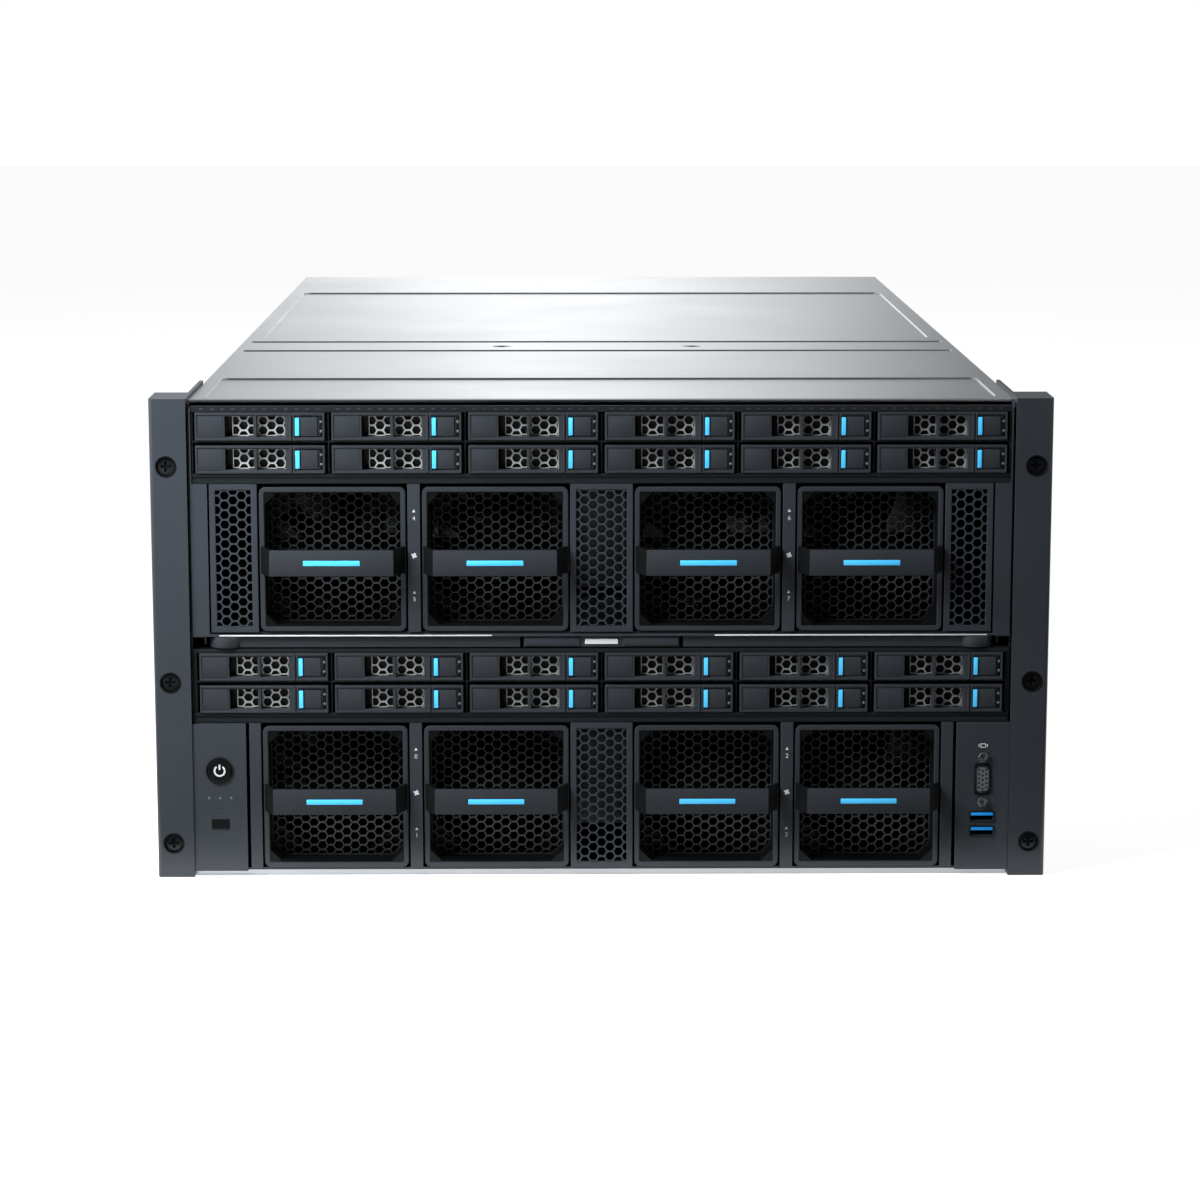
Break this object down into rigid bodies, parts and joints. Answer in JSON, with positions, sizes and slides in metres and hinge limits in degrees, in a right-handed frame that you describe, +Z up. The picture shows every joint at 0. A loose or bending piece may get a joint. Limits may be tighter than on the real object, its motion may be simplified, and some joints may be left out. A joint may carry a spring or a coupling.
{
  "type": "rack server",
  "caption": "Rack server with slide-out compute sled, hot-swap drives, strap-handled fan modules, ejector levers, front buttons and sockets, and rear power supplies in a steel chassis.",
  "frame": {"origin": "middle of the footprint, on the surface that the server stands on", "axes": "+X to the right seen from the front, +Y to the rear, +Z up"},
  "size_m": [0.4826, 0.882, 0.262],
  "materials": {
    "bare_steel": "zinc-coated sheet",
    "dark_paint": "charcoal powder coat",
    "dark_screw": "black zinc",
    "board": "circuit board with aluminium heat sinks",
    "drive": "charcoal carrier and metal disk case",
    "fan_plastic": "moulded plastic",
    "rotor_plastic": "moulded plastic",
    "panel_plastic": "moulded plastic",
    "button_black": "gloss",
    "latch_silver": "silver plastic",
    "supply_case": "zinc-coated sheet case"
  },
  "bodies": {
    "chassis": {"chassis_tub": "bare_steel", "top_cover": "bare_steel", "rack_ear_left": "dark_paint", "rack_ear_right": "dark_paint", "rack_screws": "dark_screw", "lower_cage": "dark_paint", "lower_system_board": "board", "control_panel": "panel_plastic", "io_panel": "panel_plastic"},
    "sled": {"upper_tray": "dark_paint", "upper_cage": "dark_paint", "upper_system_board": "board"},
    "upper_drive_01": {"upper_drive_01": "drive"},
    "upper_drive_02": {"upper_drive_02": "drive"},
    "upper_drive_03": {"upper_drive_03": "drive"},
    "upper_drive_04": {"upper_drive_04": "drive"},
    "upper_drive_05": {"upper_drive_05": "drive"},
    "upper_drive_06": {"upper_drive_06": "drive"},
    "upper_drive_07": {"upper_drive_07": "drive"},
    "upper_drive_08": {"upper_drive_08": "drive"},
    "upper_drive_09": {"upper_drive_09": "drive"},
    "upper_drive_10": {"upper_drive_10": "drive"},
    "upper_drive_11": {"upper_drive_11": "drive"},
    "upper_drive_12": {"upper_drive_12": "drive"},
    "upper_fan_1": {"upper_fan_1": "fan_plastic"},
    "upper_rotor_1": {"upper_rotor_1": "rotor_plastic"},
    "upper_fan_2": {"upper_fan_2": "fan_plastic"},
    "upper_rotor_2": {"upper_rotor_2": "rotor_plastic"},
    "upper_fan_3": {"upper_fan_3": "fan_plastic"},
    "upper_rotor_3": {"upper_rotor_3": "rotor_plastic"},
    "upper_fan_4": {"upper_fan_4": "fan_plastic"},
    "upper_rotor_4": {"upper_rotor_4": "rotor_plastic"},
    "lower_drive_01": {"lower_drive_01": "drive"},
    "lower_drive_02": {"lower_drive_02": "drive"},
    "lower_drive_03": {"lower_drive_03": "drive"},
    "lower_drive_04": {"lower_drive_04": "drive"},
    "lower_drive_05": {"lower_drive_05": "drive"},
    "lower_drive_06": {"lower_drive_06": "drive"},
    "lower_drive_07": {"lower_drive_07": "drive"},
    "lower_drive_08": {"lower_drive_08": "drive"},
    "lower_drive_09": {"lower_drive_09": "drive"},
    "lower_drive_10": {"lower_drive_10": "drive"},
    "lower_drive_11": {"lower_drive_11": "drive"},
    "lower_drive_12": {"lower_drive_12": "drive"},
    "lower_fan_1": {"lower_fan_1": "fan_plastic"},
    "lower_rotor_1": {"lower_rotor_1": "rotor_plastic"},
    "lower_fan_2": {"lower_fan_2": "fan_plastic"},
    "lower_rotor_2": {"lower_rotor_2": "rotor_plastic"},
    "lower_fan_3": {"lower_fan_3": "fan_plastic"},
    "lower_rotor_3": {"lower_rotor_3": "rotor_plastic"},
    "lower_fan_4": {"lower_fan_4": "fan_plastic"},
    "lower_rotor_4": {"lower_rotor_4": "rotor_plastic"},
    "power_supply_1": {"power_supply_1": "supply_case"},
    "power_supply_2": {"power_supply_2": "supply_case"},
    "power_supply_3": {"power_supply_3": "supply_case"},
    "lever_left": {"lever_left": "dark_paint"},
    "lever_right": {"lever_right": "dark_paint"},
    "lever_latch": {"lever_latch": "latch_silver"},
    "power_button": {"power_button": "button_black"},
    "uid_button": {"uid_button": "button_black"}
  },
  "joints": [
    {"name": "sled_slide", "type": "slide", "parent": "chassis", "child": "sled", "axis": [0, -1, 0], "range_m": [0, 0.5]},
    {"name": "upper_drive_01_slide", "type": "slide", "parent": "sled", "child": "upper_drive_01", "axis": [0, -1, 0], "range_m": [0, 0.1]},
    {"name": "upper_drive_02_slide", "type": "slide", "parent": "sled", "child": "upper_drive_02", "axis": [0, -1, 0], "range_m": [0, 0.1]},
    {"name": "upper_drive_03_slide", "type": "slide", "parent": "sled", "child": "upper_drive_03", "axis": [0, -1, 0], "range_m": [0, 0.1]},
    {"name": "upper_drive_04_slide", "type": "slide", "parent": "sled", "child": "upper_drive_04", "axis": [0, -1, 0], "range_m": [0, 0.1]},
    {"name": "upper_drive_05_slide", "type": "slide", "parent": "sled", "child": "upper_drive_05", "axis": [0, -1, 0], "range_m": [0, 0.1]},
    {"name": "upper_drive_06_slide", "type": "slide", "parent": "sled", "child": "upper_drive_06", "axis": [0, -1, 0], "range_m": [0, 0.1]},
    {"name": "upper_drive_07_slide", "type": "slide", "parent": "sled", "child": "upper_drive_07", "axis": [0, -1, 0], "range_m": [0, 0.1]},
    {"name": "upper_drive_08_slide", "type": "slide", "parent": "sled", "child": "upper_drive_08", "axis": [0, -1, 0], "range_m": [0, 0.1]},
    {"name": "upper_drive_09_slide", "type": "slide", "parent": "sled", "child": "upper_drive_09", "axis": [0, -1, 0], "range_m": [0, 0.1]},
    {"name": "upper_drive_10_slide", "type": "slide", "parent": "sled", "child": "upper_drive_10", "axis": [0, -1, 0], "range_m": [0, 0.1]},
    {"name": "upper_drive_11_slide", "type": "slide", "parent": "sled", "child": "upper_drive_11", "axis": [0, -1, 0], "range_m": [0, 0.1]},
    {"name": "upper_drive_12_slide", "type": "slide", "parent": "sled", "child": "upper_drive_12", "axis": [0, -1, 0], "range_m": [0, 0.1]},
    {"name": "upper_fan_1_slide", "type": "slide", "parent": "sled", "child": "upper_fan_1", "axis": [0, -1, 0], "range_m": [0, 0.055]},
    {"name": "upper_rotor_1_spin", "type": "hinge", "parent": "upper_fan_1", "child": "upper_rotor_1", "pos_m": [-0.1442, -0.391, 0.17505], "axis": [0, 1, 0], "continuous": true},
    {"name": "upper_fan_2_slide", "type": "slide", "parent": "sled", "child": "upper_fan_2", "axis": [0, -1, 0], "range_m": [0, 0.055]},
    {"name": "upper_rotor_2_spin", "type": "hinge", "parent": "upper_fan_2", "child": "upper_rotor_2", "pos_m": [-0.057, -0.391, 0.17505], "axis": [0, 1, 0], "continuous": true},
    {"name": "upper_fan_3_slide", "type": "slide", "parent": "sled", "child": "upper_fan_3", "axis": [0, -1, 0], "range_m": [0, 0.055]},
    {"name": "upper_rotor_3_spin", "type": "hinge", "parent": "upper_fan_3", "child": "upper_rotor_3", "pos_m": [0.057, -0.391, 0.17505], "axis": [0, 1, 0], "continuous": true},
    {"name": "upper_fan_4_slide", "type": "slide", "parent": "sled", "child": "upper_fan_4", "axis": [0, -1, 0], "range_m": [0, 0.055]},
    {"name": "upper_rotor_4_spin", "type": "hinge", "parent": "upper_fan_4", "child": "upper_rotor_4", "pos_m": [0.1442, -0.391, 0.17505], "axis": [0, 1, 0], "continuous": true},
    {"name": "lower_drive_01_slide", "type": "slide", "parent": "chassis", "child": "lower_drive_01", "axis": [0, -1, 0], "range_m": [0, 0.1]},
    {"name": "lower_drive_02_slide", "type": "slide", "parent": "chassis", "child": "lower_drive_02", "axis": [0, -1, 0], "range_m": [0, 0.1]},
    {"name": "lower_drive_03_slide", "type": "slide", "parent": "chassis", "child": "lower_drive_03", "axis": [0, -1, 0], "range_m": [0, 0.1]},
    {"name": "lower_drive_04_slide", "type": "slide", "parent": "chassis", "child": "lower_drive_04", "axis": [0, -1, 0], "range_m": [0, 0.1]},
    {"name": "lower_drive_05_slide", "type": "slide", "parent": "chassis", "child": "lower_drive_05", "axis": [0, -1, 0], "range_m": [0, 0.1]},
    {"name": "lower_drive_06_slide", "type": "slide", "parent": "chassis", "child": "lower_drive_06", "axis": [0, -1, 0], "range_m": [0, 0.1]},
    {"name": "lower_drive_07_slide", "type": "slide", "parent": "chassis", "child": "lower_drive_07", "axis": [0, -1, 0], "range_m": [0, 0.1]},
    {"name": "lower_drive_08_slide", "type": "slide", "parent": "chassis", "child": "lower_drive_08", "axis": [0, -1, 0], "range_m": [0, 0.1]},
    {"name": "lower_drive_09_slide", "type": "slide", "parent": "chassis", "child": "lower_drive_09", "axis": [0, -1, 0], "range_m": [0, 0.1]},
    {"name": "lower_drive_10_slide", "type": "slide", "parent": "chassis", "child": "lower_drive_10", "axis": [0, -1, 0], "range_m": [0, 0.1]},
    {"name": "lower_drive_11_slide", "type": "slide", "parent": "chassis", "child": "lower_drive_11", "axis": [0, -1, 0], "range_m": [0, 0.1]},
    {"name": "lower_drive_12_slide", "type": "slide", "parent": "chassis", "child": "lower_drive_12", "axis": [0, -1, 0], "range_m": [0, 0.1]},
    {"name": "lower_fan_1_slide", "type": "slide", "parent": "chassis", "child": "lower_fan_1", "axis": [0, -1, 0], "range_m": [0, 0.055]},
    {"name": "lower_rotor_1_spin", "type": "hinge", "parent": "lower_fan_1", "child": "lower_rotor_1", "pos_m": [-0.1442, -0.391, 0.04455], "axis": [0, 1, 0], "continuous": true},
    {"name": "lower_fan_2_slide", "type": "slide", "parent": "chassis", "child": "lower_fan_2", "axis": [0, -1, 0], "range_m": [0, 0.055]},
    {"name": "lower_rotor_2_spin", "type": "hinge", "parent": "lower_fan_2", "child": "lower_rotor_2", "pos_m": [-0.057, -0.391, 0.04455], "axis": [0, 1, 0], "continuous": true},
    {"name": "lower_fan_3_slide", "type": "slide", "parent": "chassis", "child": "lower_fan_3", "axis": [0, -1, 0], "range_m": [0, 0.055]},
    {"name": "lower_rotor_3_spin", "type": "hinge", "parent": "lower_fan_3", "child": "lower_rotor_3", "pos_m": [0.057, -0.391, 0.04455], "axis": [0, 1, 0], "continuous": true},
    {"name": "lower_fan_4_slide", "type": "slide", "parent": "chassis", "child": "lower_fan_4", "axis": [0, -1, 0], "range_m": [0, 0.055]},
    {"name": "lower_rotor_4_spin", "type": "hinge", "parent": "lower_fan_4", "child": "lower_rotor_4", "pos_m": [0.1442, -0.391, 0.04455], "axis": [0, 1, 0], "continuous": true},
    {"name": "power_supply_1_slide", "type": "slide", "parent": "chassis", "child": "power_supply_1", "axis": [0, 1, 0], "range_m": [0, 0.17]},
    {"name": "power_supply_2_slide", "type": "slide", "parent": "chassis", "child": "power_supply_2", "axis": [0, 1, 0], "range_m": [0, 0.17]},
    {"name": "power_supply_3_slide", "type": "slide", "parent": "chassis", "child": "power_supply_3", "axis": [0, 1, 0], "range_m": [0, 0.17]},
    {"name": "lever_left_swing", "type": "hinge", "parent": "sled", "child": "lever_left", "pos_m": [-0.2023, -0.421, 0.12995], "axis": [0, 0, 1], "range_deg": [-75, 0]},
    {"name": "lever_right_swing", "type": "hinge", "parent": "sled", "child": "lever_right", "pos_m": [0.2023, -0.421, 0.12995], "axis": [0, 0, 1], "range_deg": [0, 75]},
    {"name": "lever_latch_push", "type": "slide", "parent": "sled", "child": "lever_latch", "axis": [0, 1, 0], "range_m": [0, 0.002], "stiffness_N_per_m": 1000},
    {"name": "power_button_push", "type": "slide", "parent": "chassis", "child": "power_button", "axis": [0, 1, 0], "range_m": [0, 0.0012], "stiffness_N_per_m": 800},
    {"name": "uid_button_push", "type": "slide", "parent": "chassis", "child": "uid_button", "axis": [0, 1, 0], "range_m": [0, 0.0008], "stiffness_N_per_m": 1500}
  ]
}
